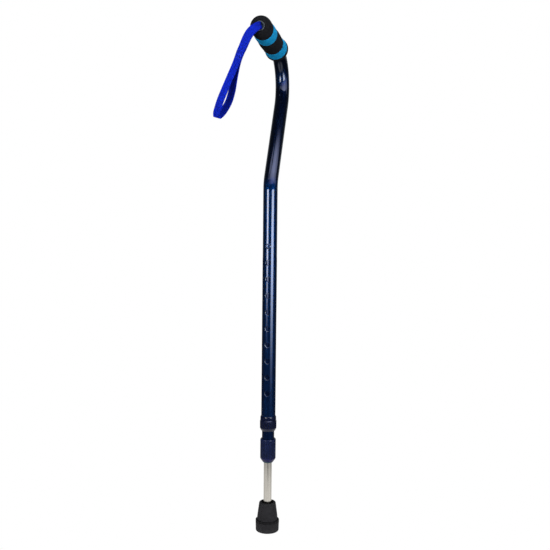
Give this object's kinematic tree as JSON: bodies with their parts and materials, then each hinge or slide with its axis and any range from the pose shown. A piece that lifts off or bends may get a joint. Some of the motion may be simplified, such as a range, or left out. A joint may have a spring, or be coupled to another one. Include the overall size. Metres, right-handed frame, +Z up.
{
  "type": "single point cane",
  "caption": "Height-adjustable single point cane: swan-neck tube with banded foam offset handle, wrist strap, locking collar, sprung lower rod and rubber tip.",
  "frame": {"origin": "centre of the rubber tip's base, on the floor, at the axis of the straight shaft", "axes": "+Z up along the straight shaft, +X the way the handle's free end points, which is also the side the adjusting holes face; +Y to the left of a user facing +X"},
  "size_m": [0.1994, 0.0839, 0.7804],
  "materials": {
    "anodised_blue": "gloss",
    "foam_black": "matte",
    "foam_turquoise": "matte",
    "webbing_blue": "matte",
    "plastic_navy": "satin",
    "plastic_grey": "satin",
    "rod_nickel": "polished",
    "steel": "satin",
    "button_dark": "gloss",
    "rubber_charcoal": "matte",
    "urethane": "satin",
    "inner_navy": "satin"
  },
  "bodies": {
    "shaft": {"outer_tube": "anodised_blue", "grip_tail": "foam_black", "grip_band_rear": "foam_turquoise", "grip_middle": "foam_black", "grip_band_front": "foam_turquoise", "grip_nose": "foam_black", "end_plug": "plastic_grey", "strap_pin": "steel", "strap_anchor": "webbing_blue", "collar_bush": "plastic_navy"},
    "lock_nut": {"collar_nut": "plastic_navy"},
    "inner": {"inner_tube": "inner_navy", "top_bushing": "plastic_grey", "clip_spring": "steel", "spring_seat": "plastic_grey", "seat_pin": "steel", "guide_bushing": "plastic_grey", "shock_spring": "steel"},
    "button": {"snap_button": "button_dark"},
    "sleeve": {"fluted_sleeve": "plastic_navy", "wiper_seal": "rubber_charcoal"},
    "plunger": {"plunger_rod": "rod_nickel", "plunger_head": "plastic_grey", "head_pin": "steel", "rebound_washer": "urethane", "rubber_tip": "rubber_charcoal", "tip_washer": "steel"},
    "strap": {"strap_loop": "webbing_blue"}
  },
  "joints": [
    {"name": "height_adjust", "type": "slide", "parent": "shaft", "child": "inner", "axis": [0, 0, -1], "range_m": [0, 0.2286], "deforming": ["snap_button"]},
    {"name": "button_press", "type": "slide", "parent": "inner", "child": "button", "axis": [-1, 0, 0], "range_m": [0, 0.0045], "stiffness_N_per_m": 400, "springref_m": -0.002, "deforming": ["clip_spring"]},
    {"name": "lock_nut_turn", "type": "hinge", "parent": "shaft", "child": "lock_nut", "pos_m": [0, 0, 0.17], "axis": [0, 0, 1], "range_deg": [0, 270]},
    {"name": "sleeve_turn", "type": "hinge", "parent": "inner", "child": "sleeve", "pos_m": [0, 0, 0.13], "axis": [0, 0, 1], "range_deg": [0, 270]},
    {"name": "shock_travel", "type": "slide", "parent": "inner", "child": "plunger", "axis": [0, 0, 1], "range_m": [0, 0.02], "stiffness_N_per_m": 12000, "springref_m": -0.006, "deforming": ["shock_spring"]},
    {"name": "strap_swing", "type": "hinge", "parent": "shaft", "child": "strap", "pos_m": [0.08402, 0, 0.76623], "axis": [-0.1129, -0.4067, 0.9065], "range_deg": [0, 70]}
  ]
}
